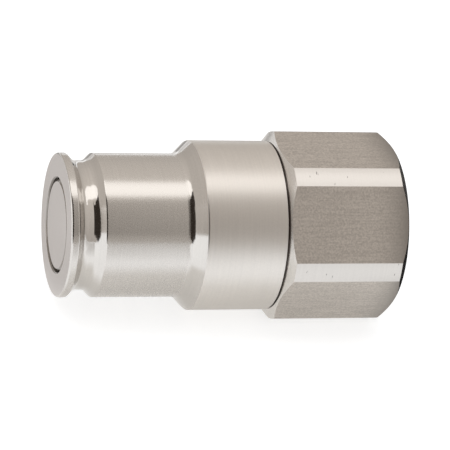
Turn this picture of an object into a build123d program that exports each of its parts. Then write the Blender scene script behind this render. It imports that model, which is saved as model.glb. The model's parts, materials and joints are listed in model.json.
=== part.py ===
"""Male half of a flush-face, non-spill quick coupling with a hexagonal end adapter.

Millimetres. The axis is X, the nose points to -X and the pipe port opens to +X. The origin is
on the axis where the guiding barrel begins, behind the locking groove. +Z is up, square to one
flat of the hexagon.
"""

import os
from math import cos, radians, sin, tan

from build123d import *

os.makedirs("parts", exist_ok=True)

# Outside of the nipple body, from the nose back
nose_diameter = 23.6
nose_round = 0.35
flange_land = 1.22
groove_depth = 1.25
groove_floor = 2.05
groove_fillet = 1.5
barrel_length = 14.0
body_step = 0.2875
body_length = 13.4
edge_round = 0.3
shoulder_fillet = 1.5

# Outside of the hexagonal adapter
hex_sides = 6
hex_across_flats = 28.575
hex_corner_trim = 0.9
hex_length = 20.5
front_chamfer = 1.67
front_chamfer_angle = 30.0
rear_chamfer = 1.525
rear_chamfer_angle = 38.0

# Joint line between the body and the adapter
joint_gap = 0.25
joint_seat_inset = 0.9
joint_edge = 0.15

# Inside of the nipple body
mouth_diameter = 15.5
mouth_break = 0.2
seal_bore_length = 5.6
chamber_diameter = 18.8
socket_diameter = 21.9
joint_thread_step = 1.05
joint_run_in = 0.8
lead_in_angle = 35.0
end_chamfer = 0.3

# Adapter spigot and port
spigot_length = 10.35
pilot_length = 4.95
seal_groove_width = 3.0
seal_groove_depth = 1.45
seal_groove_inset = 0.95
thread_relief = 0.7
thread_relief_depth = 0.8
port_thread_bore = 18.631
port_mouth_diameter = 21.4
port_depth = 15.0
spigot_wall = 1.1
drill_angle = 60.0

# Valve
valve_recess = 0.1
valve_edge = 0.6
valve_front_land = 1.2
valve_stop_rise = 0.7
valve_flange_width = 1.0
spring_boss_length = 1.35
stem_diameter = 5.0
stem_overhang = 1.2
stem_chamfer = 0.4

# Spring
spring_wire = 1.1
spring_mean_diameter = 10.4
spring_turns = 5.5
spring_closed_turns = 0.75

# Guide
guide_thickness = 2.2
guide_hub_diameter = 12.8
guide_window_diameter = 17.8
guide_tail_diameter = 9.2
guide_tail_end_diameter = 7.6
guide_tail_length = 1.8
guide_arms = 3
guide_arm_width = 2.0
window_corner = 0.5

# Retaining ring
circlip_thickness = 1.0
circlip_groove_depth = 0.55
circlip_band = 1.75
circlip_offset = 0.3
circlip_lug_radius = 1.3
circlip_lug_angle = 15.0
circlip_hole = 1.1
circlip_gap = 2.6

# Seals
seal_flat_share = 0.1
backup_width = 0.95
backup_cut = 0.3
backup_cut_angle = 30.0

# Clearances
sliding_clearance = 0.05
seal_clearance = 0.04
static_clearance = 0.02
stop_clearance = 0.1
spigot_clearance = 0.95
boss_clearance = 0.35
thread_clearance = 0.05
face_clearance = 0.05

# Radii
nose_r = nose_diameter / 2
groove_r = nose_r - groove_depth
hex_r = hex_across_flats / 2
body_r = hex_r - body_step
land_r = hex_r / cos(radians(180 / hex_sides)) - hex_corner_trim
mouth_r = mouth_diameter / 2
chamber_r = chamber_diameter / 2
socket_r = socket_diameter / 2
joint_r = socket_r + joint_thread_step
port_r = port_thread_bore / 2
stem_r = stem_diameter / 2
spring_r = spring_mean_diameter / 2
spring_boss_r = spring_r - spring_wire / 2 - boss_clearance

# Stations along the axis, from the barrel's front edge
groove_back_x = -groove_depth
groove_front_x = groove_back_x - groove_floor
flange_back_x = groove_front_x - groove_depth
nose_x = flange_back_x - flange_land
shoulder_x = barrel_length
body_x = shoulder_x + body_r - nose_r
joint_x = body_x + body_length
rear_x = joint_x + hex_length
spigot_x = joint_x - spigot_length
pilot_end_x = spigot_x + pilot_length
thread_end_x = pilot_end_x + joint_run_in
circlip_x = spigot_x - spigot_clearance - circlip_thickness - face_clearance
guide_back_x = circlip_x - face_clearance
socket_x = guide_back_x - guide_thickness
seal_bore_x = nose_x + seal_bore_length
chamber_x = seal_bore_x + chamber_r - mouth_r


def corners(shape, *spots):
    """The corners of a section that lie at the given (x, radius) points."""
    near = 0.001
    return [
        v
        for v in shape.vertices()
        if any(abs(v.X - x) < near and abs(v.Y - r) < near for x, r in spots)
    ]


# Nipple body
lead_in_x = thread_end_x - joint_thread_step / tan(radians(lead_in_angle))
circlip_groove_r = socket_r + circlip_groove_depth

with BuildPart() as nipple_body:
    with BuildSketch(Plane.XZ) as outside:
        with BuildLine():
            Polyline(
                (nose_x, 0),
                (nose_x, nose_r),
                (flange_back_x, nose_r),
                (groove_front_x, groove_r),
                (groove_back_x, groove_r),
                (0, nose_r),
                (shoulder_x, nose_r),
                (body_x, body_r),
                (joint_x, body_r),
                (joint_x, 0),
                close=True,
            )
        make_face()
        fillet(corners(outside, (nose_x, nose_r)), nose_round)
        fillet(corners(outside, (groove_front_x, groove_r), (groove_back_x, groove_r)), groove_fillet)
        fillet(corners(outside, (flange_back_x, nose_r), (0, nose_r)), edge_round)
        fillet(corners(outside, (shoulder_x, nose_r)), shoulder_fillet)
        fillet(corners(outside, (body_x, body_r)), edge_round)
        chamfer(corners(outside, (joint_x, body_r)), joint_edge)
    revolve(axis=Axis.X)
    with BuildSketch(Plane.XZ) as inside:
        with BuildLine():
            Polyline(
                (nose_x, 0),
                (nose_x, mouth_r + mouth_break),
                (nose_x + mouth_break, mouth_r),
                (seal_bore_x, mouth_r),
                (chamber_x, chamber_r),
                (socket_x, chamber_r),
                (socket_x, socket_r),
                (lead_in_x, socket_r),
                (thread_end_x, joint_r),
                (joint_x - end_chamfer, joint_r),
                (joint_x, joint_r + end_chamfer),
                (joint_x, 0),
                close=True,
            )
        make_face()
    revolve(axis=Axis.X, mode=Mode.SUBTRACT)
    with BuildSketch(Plane.XZ):
        with Locations((circlip_x, 0)):
            Rectangle(circlip_thickness + 2 * face_clearance, circlip_groove_r, align=Align.MIN)
    revolve(axis=Axis.X, mode=Mode.SUBTRACT)

# Hexagonal adapter
front_r = land_r - front_chamfer
rear_r = land_r - rear_chamfer
pilot_r = socket_r - sliding_clearance
hex_x = joint_x + joint_gap
joint_seat_r = body_r - joint_seat_inset
spigot_thread_r = joint_r - thread_clearance
relief_x = joint_x - thread_relief
seal_groove_x = spigot_x + seal_groove_inset
seal_groove_r = socket_r - seal_groove_depth
flow_r = seal_groove_r - spigot_wall
port_end_x = rear_x - port_depth
port_mouth_r = port_mouth_diameter / 2

with BuildPart() as hex_adapter:
    with BuildSketch(Plane.YZ.offset(joint_x)):
        RegularPolygon(hex_r, hex_sides, major_radius=False)
    extrude(amount=hex_length)
    with BuildSketch(Plane.XZ):
        with BuildLine():
            Polyline(
                (joint_x, 0),
                (joint_x, joint_seat_r),
                (hex_x, joint_seat_r),
                (hex_x, front_r),
                (hex_x + front_chamfer * tan(radians(front_chamfer_angle)), land_r),
                (rear_x - rear_chamfer * tan(radians(rear_chamfer_angle)), land_r),
                (rear_x, rear_r),
                (rear_x, 0),
                close=True,
            )
        make_face()
    revolve(axis=Axis.X, mode=Mode.INTERSECT)
    with BuildSketch(Plane.XZ) as spigot:
        with BuildLine():
            Polyline(
                (spigot_x, 0),
                (spigot_x, pilot_r),
                (pilot_end_x, pilot_r),
                (pilot_end_x + spigot_thread_r - pilot_r, spigot_thread_r),
                (relief_x, spigot_thread_r),
                (relief_x, spigot_thread_r - thread_relief_depth),
                (joint_x, spigot_thread_r - thread_relief_depth),
                (joint_x, 0),
                close=True,
            )
        make_face()
        chamfer(corners(spigot, (spigot_x, pilot_r)), end_chamfer)
    revolve(axis=Axis.X)
    with BuildSketch(Plane.XZ):
        with Locations((seal_groove_x, seal_groove_r)):
            Rectangle(seal_groove_width, seal_groove_depth, align=Align.MIN)
    revolve(axis=Axis.X, mode=Mode.SUBTRACT)
    with BuildSketch(Plane.XZ):
        with BuildLine():
            Polyline(
                (spigot_x, 0),
                (spigot_x, flow_r + end_chamfer),
                (spigot_x + end_chamfer, flow_r),
                (port_end_x - (port_r - flow_r) / tan(radians(drill_angle)), flow_r),
                (port_end_x, port_r),
                (rear_x - (port_mouth_r - port_r), port_r),
                (rear_x, port_mouth_r),
                (rear_x, 0),
                close=True,
            )
        make_face()
    revolve(axis=Axis.X, mode=Mode.SUBTRACT)

# Valve, closed
head_r = mouth_r - sliding_clearance
valve_flange_r = head_r + valve_stop_rise
valve_x = nose_x + valve_recess
valve_groove_x = valve_x + valve_front_land
valve_groove_r = mouth_r - seal_groove_depth
valve_rear_x = valve_groove_x + seal_groove_width
valve_cone_x = seal_bore_x + (head_r - mouth_r) + stop_clearance
valve_flange_x = valve_cone_x + valve_flange_r - head_r
spring_seat_x = valve_flange_x + valve_flange_width
guide_hub_end_x = guide_back_x + guide_tail_length
stem_end_x = guide_hub_end_x + stem_overhang
boss_end_x = spring_seat_x + spring_boss_length

with BuildPart() as valve:
    with BuildSketch(Plane.XZ) as valve_section:
        with BuildLine():
            Polyline(
                (valve_x, 0),
                (valve_x, head_r),
                (valve_cone_x, head_r),
                (valve_flange_x, valve_flange_r),
                (spring_seat_x, valve_flange_r),
                (spring_seat_x, spring_boss_r),
                (boss_end_x, spring_boss_r),
                (boss_end_x + spring_boss_r - stem_r, stem_r),
                (stem_end_x, stem_r),
                (stem_end_x, 0),
                close=True,
            )
        make_face()
        chamfer(corners(valve_section, (valve_x, head_r)), valve_edge)
        chamfer(corners(valve_section, (stem_end_x, stem_r)), stem_chamfer)
        chamfer(corners(valve_section, (boss_end_x, spring_boss_r)), end_chamfer)
        fillet(corners(valve_section, (valve_flange_x, valve_flange_r)), edge_round)
        fillet(corners(valve_section, (spring_seat_x, valve_flange_r)), edge_round)
    revolve(axis=Axis.X)
    with BuildSketch(Plane.XZ):
        with Locations((valve_groove_x, valve_groove_r)):
            Rectangle(seal_groove_width, seal_groove_depth, align=Align.MIN)
    revolve(axis=Axis.X, mode=Mode.SUBTRACT)

# Valve guide, a spider whose three arms carry the hub
guide_r = socket_r - sliding_clearance
hub_r = guide_hub_diameter / 2
guide_bore_r = stem_r + sliding_clearance

with BuildPart() as valve_guide:
    with BuildSketch(Plane.XZ) as guide_section:
        with BuildLine():
            Polyline(
                (socket_x - spring_boss_length, guide_bore_r),
                (socket_x - spring_boss_length, spring_boss_r),
                (socket_x, spring_boss_r),
                (socket_x, guide_r),
                (guide_back_x, guide_r),
                (guide_back_x, guide_tail_diameter / 2),
                (guide_hub_end_x, guide_tail_end_diameter / 2),
                (guide_hub_end_x, guide_bore_r),
                close=True,
            )
        make_face()
        chamfer(corners(guide_section, (socket_x - spring_boss_length, spring_boss_r)), end_chamfer)
        chamfer(corners(guide_section, (socket_x, guide_r), (guide_back_x, guide_r)), end_chamfer)
    revolve(axis=Axis.X)
    with BuildSketch(Plane.YZ.offset(socket_x)) as windows:
        Circle(guide_window_diameter / 2)
        Circle(hub_r, mode=Mode.SUBTRACT)
        with PolarLocations(0, guide_arms, start_angle=90):
            arm_length = guide_window_diameter
            Rectangle(arm_length, guide_arm_width, align=(Align.MIN, Align.CENTER), mode=Mode.SUBTRACT)
        fillet(windows.vertices(), window_corner)
    extrude(amount=guide_thickness, mode=Mode.SUBTRACT)

# Retaining ring of the guide
circlip_r = circlip_groove_r - face_clearance
circlip_inner_r = circlip_r - circlip_band
first_lug_angle = -90 - circlip_lug_angle

with BuildPart() as guide_circlip:
    with BuildSketch(Plane.YZ.offset(circlip_x + face_clearance)):
        Circle(circlip_r)
        with Locations((0, -circlip_offset)):
            Circle(circlip_inner_r, mode=Mode.SUBTRACT)
        with PolarLocations(circlip_inner_r, 2, first_lug_angle, 2 * circlip_lug_angle, endpoint=True):
            Circle(circlip_lug_radius)
            Circle(circlip_hole / 2, mode=Mode.SUBTRACT)
        with Locations((0, -circlip_r)):
            Rectangle(circlip_gap, circlip_r, mode=Mode.SUBTRACT)
    extrude(amount=circlip_thickness)

# Valve spring, its end turns closed and ground flat
spring_start_x = spring_seat_x + face_clearance
spring_end_x = socket_x - face_clearance
spring_length = spring_end_x - spring_start_x
closed_rise = spring_wire / 2
open_turns = spring_turns - 2 * spring_closed_turns
open_rise = spring_length - 2 * closed_rise


def coil(start_x, turns_before, rise, turns):
    """A stretch of the wire's centre line that goes on from the turns before it."""
    angle = radians(360 * turns_before)
    start = Plane((start_x, 0, 0), x_dir=(0, cos(angle), sin(angle)), z_dir=(1, 0, 0))
    return start * Helix(rise / turns, rise, spring_r)


coils = [
    coil(spring_start_x, 0, closed_rise, spring_closed_turns),
    coil(spring_start_x + closed_rise, spring_closed_turns, open_rise, open_turns),
    coil(spring_end_x - closed_rise, spring_turns - spring_closed_turns, closed_rise, spring_closed_turns),
]

with BuildPart() as valve_spring:
    for stretch in coils:
        with BuildSketch(Plane(stretch @ 0, z_dir=stretch % 0)):
            Circle(spring_wire / 2)
        sweep(path=stretch, is_frenet=True)
    with Locations(((spring_start_x + spring_end_x) / 2, 0, 0)):
        Box(spring_length, chamber_diameter, chamber_diameter, mode=Mode.INTERSECT)


def seal_ring(start_x, width, inner_r, outer_r):
    """An O-ring squeezed in its groove."""
    height = outer_r - inner_r
    with BuildPart() as ring:
        with BuildSketch(Plane.XZ):
            with Locations((start_x + width / 2, inner_r + height / 2)):
                RectangleRounded(width, height, height * (1 - seal_flat_share) / 2)
        revolve(axis=Axis.X)
    return ring


def backup_ring(start_x, inner_r, outer_r):
    """A flat ring with a scarf cut, so that it can be sprung into its groove."""
    with BuildPart() as ring:
        with BuildSketch(Plane.XZ):
            with Locations((start_x, inner_r)):
                Rectangle(backup_width, outer_r - inner_r, align=Align.MIN)
        revolve(axis=Axis.X)
        with Locations(Location((start_x + backup_width / 2, 0, outer_r), (0, 0, backup_cut_angle))):
            Box(seal_groove_width, backup_cut, outer_r, mode=Mode.SUBTRACT)
    return ring


seal_width = seal_groove_width - backup_width - 3 * static_clearance

# Seals of the valve, the backing ring on the nose side
valve_backup_ring = backup_ring(
    valve_groove_x + static_clearance, valve_groove_r + static_clearance, head_r
)
valve_seal = seal_ring(
    valve_rear_x - static_clearance - seal_width,
    seal_width,
    valve_groove_r + static_clearance,
    mouth_r - seal_clearance,
)

# Seals of the adapter's pilot, the backing ring on the thread side
body_seal = seal_ring(
    seal_groove_x + static_clearance,
    seal_width,
    seal_groove_r + static_clearance,
    socket_r - static_clearance,
)
body_backup_ring = backup_ring(
    seal_groove_x + seal_groove_width - static_clearance - backup_width,
    seal_groove_r + static_clearance,
    pilot_r,
)

pieces = {
    "nipple_body": nipple_body,
    "hex_adapter": hex_adapter,
    "valve": valve,
    "valve_guide": valve_guide,
    "guide_circlip": guide_circlip,
    "valve_spring": valve_spring,
    "valve_seal": valve_seal,
    "valve_backup_ring": valve_backup_ring,
    "body_seal": body_seal,
    "body_backup_ring": body_backup_ring,
}
for name, piece in pieces.items():
    piece.part.label = name
    export_step(piece.part, f"parts/{name}.step")
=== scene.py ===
"""Dresses the coupling nipple: camera, studio, metal finishes, port thread, spring and seals."""

import json
from math import cos, hypot, pi, radians, sin

import bmesh
import bpy
from mathutils import Matrix, Vector

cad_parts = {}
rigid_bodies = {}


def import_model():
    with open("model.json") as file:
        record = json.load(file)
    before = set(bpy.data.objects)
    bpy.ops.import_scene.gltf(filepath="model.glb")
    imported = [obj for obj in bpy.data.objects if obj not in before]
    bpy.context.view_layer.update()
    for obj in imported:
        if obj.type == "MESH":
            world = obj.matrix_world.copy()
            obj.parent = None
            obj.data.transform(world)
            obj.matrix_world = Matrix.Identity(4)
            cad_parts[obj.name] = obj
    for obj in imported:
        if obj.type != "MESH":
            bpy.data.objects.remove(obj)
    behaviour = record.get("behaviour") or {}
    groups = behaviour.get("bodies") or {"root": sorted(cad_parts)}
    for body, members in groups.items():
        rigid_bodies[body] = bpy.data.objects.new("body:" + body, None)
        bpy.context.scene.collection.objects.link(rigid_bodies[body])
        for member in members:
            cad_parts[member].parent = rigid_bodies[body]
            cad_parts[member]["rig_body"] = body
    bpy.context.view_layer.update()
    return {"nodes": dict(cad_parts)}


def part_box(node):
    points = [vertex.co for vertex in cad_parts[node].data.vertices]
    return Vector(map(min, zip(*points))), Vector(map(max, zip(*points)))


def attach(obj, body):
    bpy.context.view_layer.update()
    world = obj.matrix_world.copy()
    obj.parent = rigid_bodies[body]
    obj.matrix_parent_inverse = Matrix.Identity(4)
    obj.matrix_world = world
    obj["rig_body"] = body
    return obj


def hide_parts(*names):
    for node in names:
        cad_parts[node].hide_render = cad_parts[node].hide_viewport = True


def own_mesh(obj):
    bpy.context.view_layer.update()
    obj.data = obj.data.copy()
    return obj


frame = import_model()
nodes = frame["nodes"]
scene = bpy.context.scene
scene.view_settings.view_transform = "Standard"
MM = 0.001

# The photograph's view: a hexagon flat faces the camera and the nose is turned towards it.
# The sensor is in millimetres, and the focal length in the photograph's pixels.
NOSE_TURN = radians(16.06)
ELEVATION = radians(30)
DISTANCE = 437.9 * MM
AIM_BEHIND_NOSE = 28.58 * MM
SENSOR = 36.0
PHOTO_SIZE = 450
FOCAL_PIXELS = 2644.8

# The part's ends and its lowest flat, read from the solids.
nose_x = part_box("nipple_body")[0][0]
rear_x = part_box("hex_adapter")[1][0]
floor_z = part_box("hex_adapter")[0][2]

towards_camera = Vector(
    (-sin(NOSE_TURN), -cos(NOSE_TURN) * cos(ELEVATION), cos(NOSE_TURN) * sin(ELEVATION))
)
image_right = (Vector((1, 0, 0)) + towards_camera * sin(NOSE_TURN)) / cos(NOSE_TURN)
image_up = towards_camera.cross(image_right)
aim = Vector((nose_x + AIM_BEHIND_NOSE, 0, 0))


def make_camera():
    data = bpy.data.cameras.new("camera")
    data.sensor_width = SENSOR
    data.lens = SENSOR * FOCAL_PIXELS / PHOTO_SIZE
    data.clip_start = 0.01
    data.clip_end = 20
    camera = bpy.data.objects.new("camera", data)
    scene.collection.objects.link(camera)
    turn = Matrix((image_right, image_up, towards_camera)).transposed()
    camera.matrix_world = Matrix.Translation(aim + towards_camera * DISTANCE) @ turn.to_4x4()
    scene.camera = camera


# Node helpers


class Nodes:
    """One material's or world's node tree, with short calls for the nodes used here."""

    def __init__(self, tree):
        self.nodes, self.links = tree.nodes, tree.links

    def add(self, kind, **sockets):
        node = self.nodes.new(kind)
        for name, value in sockets.items():
            self.put(node.inputs[name.replace("_", " ")], value)
        return node

    def put(self, target, value):
        if isinstance(value, bpy.types.NodeSocket):
            self.links.new(value, target)
        else:
            target.default_value = value

    def place(self):
        """The object's own coordinates, in metres."""
        return self.add("ShaderNodeTexCoord").outputs["Object"]

    def noise(self, scale, detail=1.0, stretch=(1, 1, 1)):
        """A noise around 0.5. A small stretch along a direction draws it out that way."""
        mapping = self.add("ShaderNodeMapping", Vector=self.place(), Scale=stretch)
        noise = self.add("ShaderNodeTexNoise", Vector=mapping.outputs[0], Scale=scale, Detail=detail)
        return noise.outputs["Fac"]

    def remap(self, value, low, high, to_low, to_high):
        node = self.add("ShaderNodeMapRange", Value=value)
        ends = {"From Min": low, "From Max": high, "To Min": to_low, "To Max": to_high}
        for name, number in ends.items():
            node.inputs[name].default_value = number
        return node.outputs["Result"]

    def rise(self, value, edge):
        """From 0 to 1 over a soft edge, given as its start and end."""
        return self.remap(value, *edge, 0, 1)

    def fall(self, value, edge):
        """From 1 to 0 over a soft edge."""
        return self.remap(value, *edge, 1, 0)

    def math(self, operation, first, second):
        node = self.nodes.new("ShaderNodeMath")
        node.operation = operation
        self.put(node.inputs[0], first)
        self.put(node.inputs[1], second)
        return node.outputs[0]

    def product(self, first, *others):
        """All values multiplied, which joins zones where each is a share."""
        for other in others:
            first = self.math("MULTIPLY", first, other)
        return first

    def distance(self, value, centre):
        """How far a value is from a centre, on either side."""
        return self.math("ABSOLUTE", self.math("SUBTRACT", value, centre), 0)

    def blend(self, share, first, second):
        """Two colours mixed by a share."""
        node = self.nodes.new("ShaderNodeMix")
        node.data_type = "RGBA"
        colours = [s for s in node.inputs if s.type == "RGBA"]
        self.put(node.inputs["Factor"], share)
        self.put(colours[0], first)
        self.put(colours[1], second)
        return next(s for s in node.outputs if s.type == "RGBA")

    def bump(self, height, depth):
        return self.add("ShaderNodeBump", Height=height, Distance=depth).outputs[0]


def new_material(name, colour, roughness, metallic=0.0):
    material = bpy.data.materials.new(name)
    material.use_nodes = True
    tree = Nodes(material.node_tree)
    shader = tree.nodes["Principled BSDF"]
    shader.inputs["Base Color"].default_value = (*colour, 1)
    shader.inputs["Roughness"].default_value = roughness
    shader.inputs["Metallic"].default_value = metallic
    return material, tree, shader


# Metal finishes

STEEL = (0.64, 0.62, 0.597)
MILLED = (0.58, 0.545, 0.51)
FACED = (0.6, 0.565, 0.545)
# Painted shade: a dark steel colour for mouths, gaps and chamfers that lie in shade
PAINTED_SHADE = (0.3, 0.28, 0.26)
MARK_SIZE = 0.3 * MM
GRAIN_SIZE = 0.3 * MM
AROUND_AXIS = (1, 0.03, 0.03)
ALONG_AXIS = (0.05, 1, 1)
QUARTER_TURN = 0.25
RELIEF_RANGE = (0.35, 0.65)


def steel(
    name, roughness, anisotropy=0.0, colour=STEEL, grain=0.03, shade=0.03, marks=0.5, depth=0.004,
    lay=AROUND_AXIS,
):
    """Stainless steel. Grain is the change of roughness and shade the change of colour over the surface.

    Marks is the share of tool marks in both, lay the way they run and depth their height in mm.
    """
    material, tree, shader = new_material(name, colour, roughness, metallic=1.0)
    shader.inputs["Anisotropic"].default_value = anisotropy
    shader.inputs["Anisotropic Rotation"].default_value = QUARTER_TURN
    tangent = tree.add("ShaderNodeTangent")
    tangent.direction_type = "RADIAL"
    tangent.axis = "X"
    tree.put(shader.inputs["Tangent"], tangent.outputs["Tangent"])
    speckle = tree.noise(1 / GRAIN_SIZE, detail=1.5)
    cuts = tree.noise(1 / MARK_SIZE, stretch=lay)
    relief = tree.math("ADD", tree.product(speckle, 1 - marks), tree.product(cuts, marks))
    gloss = tree.remap(relief, *RELIEF_RANGE, roughness - grain, roughness + grain)
    tree.put(shader.inputs["Roughness"], gloss)
    darker = [c * (1 - shade) for c in colour] + [1]
    lighter = [c * (1 + shade) for c in colour] + [1]
    tree.put(shader.inputs["Base Color"], tree.blend(tree.rise(relief, RELIEF_RANGE), darker, lighter))
    tree.put(shader.inputs["Normal"], tree.bump(relief, depth * MM))
    return material


def with_rear_darkening(material, length, amount):
    """Darkens a finish towards the part's rear end, over the given length."""
    tree = Nodes(material.node_tree)
    shader = tree.nodes["Principled BSDF"]
    colour = shader.inputs["Base Color"].links[0].from_socket
    along = tree.add("ShaderNodeSeparateXYZ", Vector=tree.place()).outputs["X"]
    near = tree.math("POWER", tree.rise(along, (rear_x - length, rear_x)), 2)
    dark = [c * (1 - amount) for c in MILLED] + [1]
    tree.put(shader.inputs["Base Color"], tree.blend(near, colour, dark))
    return material


NICK_SHAPE = (1, 0.3, 0.3)
NICK_EDGE = 0.03
NICK_SHADE = 0.45


def with_nicks(material, size, amount):
    """Adds small dark nicks, longer around the axis than along it, where a noise peaks."""
    tree = Nodes(material.node_tree)
    shader = tree.nodes["Principled BSDF"]
    colour = shader.inputs["Base Color"].links[0].from_socket
    spots = tree.noise(1 / size, detail=2.0, stretch=NICK_SHAPE)
    sharp = tree.rise(spots, (1 - amount, 1 - amount + NICK_EDGE))
    dark = [c * NICK_SHADE for c in STEEL] + [1]
    tree.put(shader.inputs["Base Color"], tree.blend(sharp, colour, dark))
    return material


barrel_steel = steel("barrel_steel", 0.27, anisotropy=0.75)
body_steel = steel("body_steel", 0.4, anisotropy=0.3, colour=(0.72, 0.695, 0.665))
faced_steel = steel("faced_steel", 0.36, anisotropy=0.2, colour=FACED, marks=0.2)
formed_steel = steel("formed_steel", 0.12, anisotropy=0.4, grain=0.02, depth=0.002)
milled_steel = steel(
    "milled_steel", 0.36, colour=MILLED, shade=0.17, marks=0.3, depth=0.008, lay=ALONG_AXIS
)
# The milled flats turn darker towards the rear end.
milled_steel = with_rear_darkening(milled_steel, length=7 * MM, amount=0.5)
# The hexagon's front chamfers: a cut finish with a colour lighter than the steel, which is painted light
cut_steel_painted_light = steel("cut_steel_painted_light", 0.2, anisotropy=0.4, colour=(0.8, 0.78, 0.755))
land_steel = with_nicks(steel("land_steel", 0.34, anisotropy=0.75), size=0.5 * MM, amount=0.29)
# Steel painted dark as shade in the nose's mouth, the joint between body and adapter, and the chamfers at
# the rear and round the valve
painted_shade_steel = steel("painted_shade_steel", 0.22, anisotropy=0.4, colour=PAINTED_SHADE)
bore_steel = steel("bore_steel", 0.4, anisotropy=0.6)
thread_steel = steel("thread_steel", 0.28, anisotropy=0.4)
cast_steel = steel("cast_steel", 0.42, colour=(0.56, 0.54, 0.52), shade=0.08, marks=0.0, depth=0.002)
spring_steel = steel("spring_steel", 0.24, colour=(0.5, 0.49, 0.475), marks=0.0)

MOTTLE_RANGE = (0.3, 0.7)
MOTTLE_LIGHT = 1.3


def plain_finish(name, colour, roughness, spread, grain_size, depth):
    """A moulded rubber or plastic with a fine mottle in shade, gloss and surface."""
    material, tree, shader = new_material(name, colour, roughness)
    mottle = tree.noise(1 / grain_size, detail=2.0)
    gloss = tree.remap(mottle, *MOTTLE_RANGE, roughness - spread, roughness + spread)
    tree.put(shader.inputs["Roughness"], gloss)
    lighter = [min(1, c * MOTTLE_LIGHT) for c in colour] + [1]
    tree.put(shader.inputs["Base Color"], tree.blend(mottle, (*colour, 1), lighter))
    tree.put(shader.inputs["Normal"], tree.bump(mottle, depth * MM))
    return material


seal_rubber = plain_finish(
    "seal_rubber", (0.018, 0.018, 0.02), 0.45, spread=0.1, grain_size=0.25 * MM, depth=0.004
)
backup_plastic = plain_finish(
    "backup_plastic", (0.66, 0.65, 0.62), 0.38, spread=0.06, grain_size=0.5 * MM, depth=0.002
)


def dress(material, *names):
    for name in names:
        mesh = nodes[name].data
        mesh.materials.clear()
        mesh.materials.append(material)


# Pieces that keep a node's form

WELD = 0.001 * MM
TINY = 1e-9


def finished_copy(node, finishes, choose, rework=None):
    """A copy of a node's mesh with a finish for each face.

    Choose gives the finish from the face's place along the axis, its radius and its normal. Rework may
    add detail to the welded mesh. Faces that it leaves alone keep their own normals.
    """
    source = nodes[node]
    mesh = source.data.copy()
    mesh.materials.clear()
    for finish in finishes:
        mesh.materials.append(finish)
    form = bmesh.new()
    form.from_mesh(mesh)
    kept = form.loops.layers.float_vector.new("kept_normal")
    normals = [Vector(n.vector) for n in source.data.corner_normals]
    for face in form.faces:
        for loop in face.loops:
            loop[kept] = normals[loop.index]
    bmesh.ops.remove_doubles(form, verts=form.verts, dist=WELD)
    form.normal_update()
    if rework:
        rework(form, kept)
    for face in form.faces:
        face.smooth = True
        centre = face.calc_center_median()
        radius = hypot(centre.y, centre.z)
        outwards = (face.normal.y * centre.y + face.normal.z * centre.z) / max(radius, TINY)
        face.material_index = finishes.index(choose(centre.x, radius, face.normal.x, outwards))
    directions = [loop[kept].normalized() for face in form.faces for loop in face.loops]
    form.loops.layers.float_vector.remove(form.loops.layers.float_vector["kept_normal"])
    form.to_mesh(mesh)
    form.free()
    mesh.normals_split_custom_set(directions)
    piece = bpy.data.objects.new(node + "_finished", mesh)
    scene.collection.objects.link(piece)
    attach(piece, source["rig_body"])
    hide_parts(node)


# Which finish a face gets. Along and outwards are its normal's parts along the axis and away from it.

# The darkest finish below is painted shade in mouths, gaps and chamfers.
FACING = 0.97
SIDEWAYS = 0.1
TURNED_ROUND = 0.9999
NEAR = 0.05 * MM
NOSE_BORE = 5.0 * MM
VALVE_LAND_END = 1.25 * MM
BARREL_START = 0.0
BARREL_RADIUS = 11.8 * MM
REAR_BODY_START = 16.0 * MM
HEX_LAND_RADIUS = 15.6 * MM
JOINT_END = 29.85 * MM
JOINT_SEAT_RADIUS = 13.1 * MM


def body_finish(x, radius, along, outwards):
    if outwards < -SIDEWAYS:
        return painted_shade_steel if x < nose_x + NOSE_BORE else bore_steel
    if abs(along) > FACING:
        return faced_steel if x < BARREL_START else bore_steel
    if x > REAR_BODY_START:
        return painted_shade_steel if along > SIDEWAYS else body_steel
    in_groove = x < BARREL_START and radius < BARREL_RADIUS - NEAR
    return formed_steel if in_groove or outwards < FACING else barrel_steel


# The lighter finish on the hexagon's front chamfers is painted light.
def adapter_finish(x, radius, along, outwards):
    if outwards < -SIDEWAYS and x > THREAD_START:
        return thread_steel
    if radius < JOINT_SEAT_RADIUS + NEAR and x < JOINT_END:
        return painted_shade_steel
    if abs(along) > FACING:
        return faced_steel
    if abs(along) > SIDEWAYS:
        return painted_shade_steel if along > 0 else cut_steel_painted_light
    on_land = radius > HEX_LAND_RADIUS - NEAR and outwards > TURNED_ROUND
    return land_steel if on_land else milled_steel


def valve_finish(x, radius, along, outwards):
    if x > nose_x + VALVE_LAND_END:
        return formed_steel
    return faced_steel if along < -FACING else painted_shade_steel


# The pipe thread in the port: a parallel 1/2 inch pipe thread of 14 turns to the inch.

THREAD_PITCH = 1.814 * MM
THREAD_MINOR = 9.3155 * MM
THREAD_MAJOR = 10.4775 * MM
PORT_DEPTH = 15.0 * MM
PORT_MOUTH_RADIUS = 10.7 * MM
THREAD_START = rear_x - PORT_DEPTH
THREAD_FADE = 2.4 * MM
FADE_DELAY = 0.2
THREAD_STEPS = 14
THREAD_COLUMNS = 96
CREST_SHARE = 0.14
WALL_MARGIN = 0.01 * MM


def thread_radius(x, turn):
    """The port's radius at x and at a share of a turn: blunt grooves, cut off by the mouth's chamfer."""
    across = abs(2 * ((x / THREAD_PITCH - turn) % 1) - 1)
    groove = min(max((across - CREST_SHARE) / (1 - 2 * CREST_SHARE), 0), 1)
    fade = min(max((x - THREAD_START) / THREAD_FADE - FADE_DELAY, 0), 1)
    chamfer = PORT_MOUTH_RADIUS - (rear_x - x)
    return max(THREAD_MINOR + (THREAD_MAJOR - THREAD_MINOR) * groove * fade, chamfer)


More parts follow.
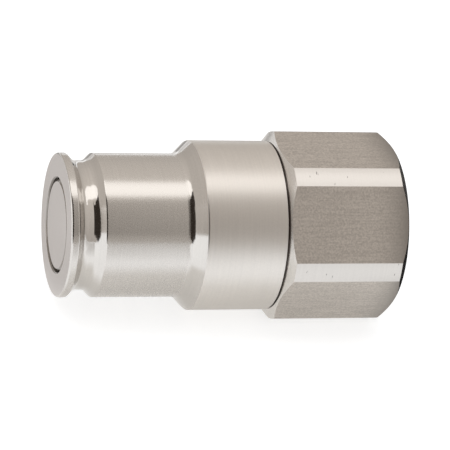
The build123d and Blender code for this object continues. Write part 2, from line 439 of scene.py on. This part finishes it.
def cut_thread(form, kept):
    """Takes out the port's smooth bore and chamfer and puts the threaded wall in their place."""
    wall = []
    for face in form.faces:
        centre = face.calc_center_median()
        inside = hypot(centre.y, centre.z) < PORT_MOUTH_RADIUS
        if inside and THREAD_START + WALL_MARGIN < centre.x < rear_x - WALL_MARGIN:
            wall.append(face)
    rim = {edge for face in wall for edge in face.edges}
    bmesh.ops.delete(form, geom=wall, context="FACES")
    rim = [edge for edge in rim if edge.is_valid and edge.is_boundary]
    inner_rim = [edge for edge in rim if edge.verts[0].co.x < rear_x - PORT_DEPTH / 2]
    outer_rim = [edge for edge in rim if edge not in inner_rim]
    rows = round(PORT_DEPTH / THREAD_PITCH * THREAD_STEPS)
    grid = []
    for i in range(rows + 1):
        x = THREAD_START + WALL_MARGIN + (PORT_DEPTH - 2 * WALL_MARGIN) * i / rows
        ring = []
        for j in range(THREAD_COLUMNS):
            turn = j / THREAD_COLUMNS
            radius = thread_radius(x, turn)
            ring.append(form.verts.new((x, radius * cos(2 * pi * turn), radius * sin(2 * pi * turn))))
        grid.append(ring)
    new = []
    for low, high in zip(grid, grid[1:]):
        for j in range(THREAD_COLUMNS):
            k = (j + 1) % THREAD_COLUMNS
            new.append(form.faces.new((low[j], low[k], high[k], high[j])))
    for ring, old in ((grid[0], inner_rim), (grid[-1], outer_rim)):
        end = [form.edges.get((ring[j - 1], ring[j])) for j in range(THREAD_COLUMNS)]
        new += bmesh.ops.bridge_loops(form, edges=end + old)["faces"]
    bmesh.ops.recalc_face_normals(form, faces=form.faces)
    form.normal_update()
    for face in new:
        for loop in face.loops:
            loop[kept] = loop.vert.normal


# The valve spring, which shortens as the valve opens.

WIRE = 1.1 * MM
SPRING_RADIUS = 5.2 * MM
SPRING_TURNS = 5.5
CLOSED_TURNS = 0.75
COIL_SIDES = 14
STEPS_A_TURN = 48


def make_spring():
    low, high = (corner[0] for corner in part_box("valve_spring"))
    closed_rise = WIRE / 2
    coil = bmesh.new()
    rings = []
    for i in range(round(SPRING_TURNS * STEPS_A_TURN) + 1):
        turn = i / STEPS_A_TURN
        angle = 2 * pi * turn
        if turn < CLOSED_TURNS:
            centre_x = low + closed_rise * turn / CLOSED_TURNS
        elif turn > SPRING_TURNS - CLOSED_TURNS:
            centre_x = high - closed_rise * (SPRING_TURNS - turn) / CLOSED_TURNS
        else:
            share = (turn - CLOSED_TURNS) / (SPRING_TURNS - 2 * CLOSED_TURNS)
            centre_x = low + closed_rise + (high - low - 2 * closed_rise) * share
        ring = []
        for j in range(COIL_SIDES):
            side = 2 * pi * j / COIL_SIDES
            radius = SPRING_RADIUS + WIRE / 2 * cos(side)
            x = min(max(centre_x + WIRE / 2 * sin(side), low), high)
            ring.append(coil.verts.new((x, radius * cos(angle), radius * sin(angle))))
        rings.append(ring)
    for near, far in zip(rings, rings[1:]):
        for j in range(COIL_SIDES):
            coil.faces.new((near[j - 1], near[j], far[j], far[j - 1]))
    coil.faces.new(rings[0])
    coil.faces.new(rings[-1][::-1])
    bmesh.ops.recalc_face_normals(coil, faces=coil.faces)
    mesh = bpy.data.meshes.new("spring_coil")
    coil.to_mesh(mesh)
    coil.free()
    for face in mesh.polygons:
        face.use_smooth = len(face.vertices) == 4
    mesh.materials.append(spring_steel)
    piece = bpy.data.objects.new("spring_coil", mesh)
    scene.collection.objects.link(piece)
    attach(piece, "body")
    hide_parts("valve_spring")
    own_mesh(piece)


# The studio. Screens that only reflections see stand for the room, and the camera sees a white backdrop.

WHITE = (1, 1, 1, 1)
FLOOR_SIZE = 6.0
FLOOR_WHITE = 0.6
FLOOR_GLOW = 0.66
AMBIENT = 0.8
ROOM_RADIUS = 2.4
ROOM_STEPS = 24
ROOM_COLOUR = (1.08, 1.0, 0.92, 1)
ROOM_LEVELS = (0.5, 0.74)


def seen_directly(tree):
    """One for rays that show the backdrop itself: from the camera, and by reflection or through glass."""
    path = tree.add("ShaderNodeLightPath").outputs
    mirrored = tree.math("MAXIMUM", path["Is Glossy Ray"], path["Is Transmission Ray"])
    return tree.math("MAXIMUM", path["Is Camera Ray"], mirrored)


def choose_by(tree, share, first, second, output):
    mix = tree.nodes.new("ShaderNodeMixShader")
    for target, value in zip(mix.inputs, (share, first, second)):
        tree.links.new(value, target)
    tree.links.new(mix.outputs[0], output.inputs["Surface"])


def make_floor():
    """A white table that keeps the part's soft shadow."""
    bpy.ops.mesh.primitive_plane_add(size=FLOOR_SIZE, location=(0, 0, floor_z))
    floor = bpy.context.object
    floor.name = "floor"
    material, tree, shown = new_material("floor", [FLOOR_WHITE] * 3, 1)
    shown.inputs["Specular IOR Level"].default_value = 0
    shown.inputs["Emission Color"].default_value = WHITE
    shown.inputs["Emission Strength"].default_value = FLOOR_GLOW
    matt = tree.add("ShaderNodeBsdfDiffuse", Color=(*[FLOOR_WHITE] * 3, 1))
    output = tree.nodes["Material Output"]
    choose_by(tree, seen_directly(tree), matt.outputs[0], shown.outputs[0], output)
    floor.data.materials.append(material)


def make_world():
    world = bpy.data.worlds.new("studio")
    scene.world = world
    world.use_nodes = True
    tree = Nodes(world.node_tree)
    ambient = tree.nodes["Background"]
    ambient.inputs["Color"].default_value = WHITE
    ambient.inputs["Strength"].default_value = AMBIENT
    white = tree.add("ShaderNodeBackground", Color=WHITE, Strength=1)
    output = tree.nodes["World Output"]
    choose_by(tree, seen_directly(tree), ambient.outputs[0], white.outputs[0], output)


def screen(name, mesh, material):
    """A studio screen that is seen in reflections and hidden from the camera."""
    wall = bpy.data.objects.new(name, mesh)
    scene.collection.objects.link(wall)
    wall.visible_camera = False
    wall.visible_shadow = False
    wall.visible_diffuse = False
    mesh.materials.append(material)


def glowing(name, colour, level):
    """A screen's own light. Level is a number, or a function that makes it from the material's nodes."""
    material, tree, shader = new_material(name, (0, 0, 0), 1)
    shader.inputs["Specular IOR Level"].default_value = 0
    shader.inputs["Emission Color"].default_value = colour
    tree.put(shader.inputs["Emission Strength"], level(tree) if callable(level) else level)
    material.cycles.emission_sampling = "NONE"
    return material


def room_level(tree):
    height = tree.add("ShaderNodeSeparateXYZ", Vector=tree.place()).outputs["Z"]
    return tree.remap(height, 0, ROOM_RADIUS, *ROOM_LEVELS)


def make_room():
    """The walls and ceiling, a large dome that is lighter overhead."""
    dome = bmesh.new()
    bmesh.ops.create_uvsphere(dome, u_segments=2 * ROOM_STEPS, v_segments=ROOM_STEPS, radius=ROOM_RADIUS)
    for face in dome.faces:
        face.smooth = True
    mesh = bpy.data.meshes.new("room")
    dome.to_mesh(mesh)
    dome.free()
    screen("room", mesh, glowing("room", ROOM_COLOUR, room_level))


def camera_frame(elevation, azimuth):
    """A direction from the part: elevation up from the camera, azimuth towards the port."""
    e, a = radians(elevation), radians(azimuth)
    return towards_camera * cos(e) * cos(a) + image_right * sin(a) * cos(e) + image_up * sin(e)


# The unlit part of the room. Its edges are in degrees from the camera's direction, seen from the part.
DARK_COLOUR = (1, 0.8, 0.64, 1)
DARK_LEVEL = 0.04
DARK_LEFT, DARK_RIGHT = -50, 23
DARK_LOW_LEFT, DARK_LOW_RIGHT = -32, -16
DARK_HIGH = 40
DARK_DISTANCE = 0.6
DARK_STEPS = 24


def make_dark_room():
    """The unlit part of the room behind the camera, as a curved screen that reaches lower on the left."""
    shell = bmesh.new()
    grid = []
    for i in range(DARK_STEPS + 1):
        turn = DARK_LEFT + (DARK_RIGHT - DARK_LEFT) * i / DARK_STEPS
        lowest = DARK_LOW_LEFT + (DARK_LOW_RIGHT - DARK_LOW_LEFT) * i / DARK_STEPS
        heights = [lowest + (DARK_HIGH - lowest) * j / DARK_STEPS for j in range(DARK_STEPS + 1)]
        places = [aim + camera_frame(height, turn) * DARK_DISTANCE for height in heights]
        grid.append([shell.verts.new(place) for place in places])
    for low, high in zip(grid, grid[1:]):
        for j in range(DARK_STEPS):
            shell.faces.new((low[j], low[j + 1], high[j + 1], high[j]))
    mesh = bpy.data.meshes.new("dark_room")
    shell.to_mesh(mesh)
    shell.free()
    screen("dark_room", mesh, glowing("dark_room", DARK_COLOUR, DARK_LEVEL))


# Painted shade on the table as the metal sees it. X runs from the nose to the port and Y away from the
# camera.
# A pair of places is a soft edge: where it starts and where it ends.
SHEET_SIZE = 1.2
SHEET_HEIGHT = 0.02 * MM

# In front of the part: painted shade, clear up to a limit and darker beyond it, less so before the
# hexagon
SHADE_FRONT = (0.46, 0.44, 0.42, 1)
SHADE_FRONT_HEX = (0.56, 0.54, 0.52, 1)
FRONT_TONE_X = (10 * MM, 30 * MM)
FRONT_LIMIT, FRONT_LIMIT_HEX = -36 * MM, -52 * MM
FRONT_LIMIT_X = (26 * MM, 36 * MM)

# Behind the part, painted shade. The edge slants back beside the nose, and far behind the body the table
# is clear again
SHADE_BACK = (0.65, 0.635, 0.62, 1)
BACK_Y = (4 * MM, 16 * MM)
BACK_SLANT = 0.6
FAR_Y = (140 * MM, 200 * MM)
FAR_X = (-10 * MM, 10 * MM)

# A painted dark patch further back, which the upper ends of the shoulder and the front chamfers show
SHADE_BEYOND = (0.33, 0.32, 0.31, 1)
BEYOND_CENTRE = 115 * MM
BEYOND_EDGE = (25 * MM, 40 * MM)
BEYOND_RIGHT = (20 * MM, 28 * MM)
BEYOND_LEFT = (-60 * MM, -30 * MM)

# Under the part: its painted shadow
SHADE_UNDER = (0.78, 0.76, 0.73, 1)
UNDER_CENTRE = -12 * MM
UNDER_EDGE = (6 * MM, 16 * MM)

# Past the port, painted dark, which the rear chamfer shows as a dark line
SHADE_REAR = (0.03, 0.03, 0.03, 1)
REAR_X = (rear_x + 3 * MM, rear_x + 6 * MM)
REAR_Y = (-30 * MM, -20 * MM)

# Before the nose: painted shade on the part that the flat face shows, and a clear corner in front that
# the cones show
FACE_X = (nose_x - 3 * MM, nose_x - 1 * MM)
FACE_FRONT_Y = (0, 4 * MM)
FACE_BACK_Y = (20 * MM, 26 * MM)
CORNER_X = (-8 * MM, -2 * MM)
CORNER_EDGE = (-24 * MM, -14 * MM)
CORNER_SLANT = 1.1


def make_shade():
    """A sheet over the table that paints shade on what the metal sees of it."""
    material, tree, _ = new_material("shade", (0, 0, 0), 1)
    x, y, _ = tree.add("ShaderNodeSeparateXYZ", Vector=tree.place()).outputs

    front = tree.blend(tree.rise(x, FRONT_TONE_X), SHADE_FRONT, SHADE_FRONT_HEX)
    limit = tree.remap(x, *FRONT_LIMIT_X, FRONT_LIMIT, FRONT_LIMIT_HEX)
    nearness = tree.math("DIVIDE", limit, tree.math("MINIMUM", y, limit))
    front = tree.blend(nearness, front, WHITE)

    beside_nose = tree.product(tree.math("MINIMUM", x, 0), BACK_SLANT)
    behind = tree.rise(tree.math("ADD", y, beside_nose), BACK_Y)
    far = tree.product(tree.rise(y, FAR_Y), tree.rise(x, FAR_X))
    table = tree.blend(behind, front, tree.blend(far, SHADE_BACK, WHITE))

    beyond = tree.fall(tree.distance(y, BEYOND_CENTRE), BEYOND_EDGE)
    beyond = tree.product(beyond, tree.fall(x, BEYOND_RIGHT), tree.rise(x, BEYOND_LEFT))
    table = tree.blend(beyond, table, SHADE_BEYOND)

    clear = tree.rise(tree.distance(y, UNDER_CENTRE), UNDER_EDGE)
    table = tree.blend(clear, SHADE_UNDER, table)

    rear = tree.product(tree.rise(x, REAR_X), tree.rise(y, REAR_Y), tree.math("SUBTRACT", 1, far))
    table = tree.blend(rear, table, SHADE_REAR)

    face = tree.product(tree.fall(x, FACE_X), tree.rise(y, FACE_FRONT_Y), tree.fall(y, FACE_BACK_Y))
    table = tree.blend(face, table, SHADE_BACK)

    slanted = tree.math("ADD", y, tree.product(x, CORNER_SLANT))
    corner = tree.product(tree.fall(x, CORNER_X), tree.fall(slanted, CORNER_EDGE))
    veil = tree.add("ShaderNodeBsdfTransparent", Color=tree.blend(corner, table, WHITE))
    tree.links.new(veil.outputs[0], tree.nodes["Material Output"].inputs["Surface"])

    sheet = bmesh.new()
    lift = Matrix.Translation((0, 0, floor_z + SHEET_HEIGHT))
    bmesh.ops.create_grid(sheet, size=SHEET_SIZE / 2, matrix=lift)
    mesh = bpy.data.meshes.new("shade")
    sheet.to_mesh(mesh)
    sheet.free()
    screen("shade", mesh, material)


def softbox(name, elevation, azimuth, distance, width, height, level):
    """A rectangular lamp that the part sees as a panel of the given brightness."""
    away = camera_frame(elevation, azimuth)
    data = bpy.data.lights.new(name, "AREA")
    data.shape = "RECTANGLE"
    data.size = width
    data.size_y = height
    data.energy = level * width * height * pi
    lamp = bpy.data.objects.new(name, data)
    scene.collection.objects.link(lamp)
    side = image_up.cross(away).normalized()
    turn = Matrix((side, away.cross(side), away)).transposed()
    lamp.matrix_world = Matrix.Translation(aim + away * distance) @ turn.to_4x4()


make_camera()
body_finishes = [barrel_steel, body_steel, faced_steel, formed_steel, painted_shade_steel, bore_steel]
finished_copy("nipple_body", body_finishes, body_finish)
adapter_finishes = [cut_steel_painted_light, milled_steel, land_steel, faced_steel, thread_steel, painted_shade_steel]
finished_copy("hex_adapter", adapter_finishes, adapter_finish, cut_thread)
finished_copy("valve", [faced_steel, formed_steel, painted_shade_steel], valve_finish)
make_spring()
dress(cast_steel, "valve_guide")
dress(spring_steel, "guide_circlip")
dress(seal_rubber, "valve_seal", "body_seal")
dress(backup_plastic, "valve_backup_ring", "body_backup_ring")
make_floor()
make_world()
make_room()
make_dark_room()
make_shade()
softbox("top_box", elevation=60, azimuth=10, distance=0.8, width=1.4, height=0.38, level=0.76)
softbox("side_box", elevation=-8, azimuth=-92, distance=0.8, width=0.9, height=0.8, level=0.85)
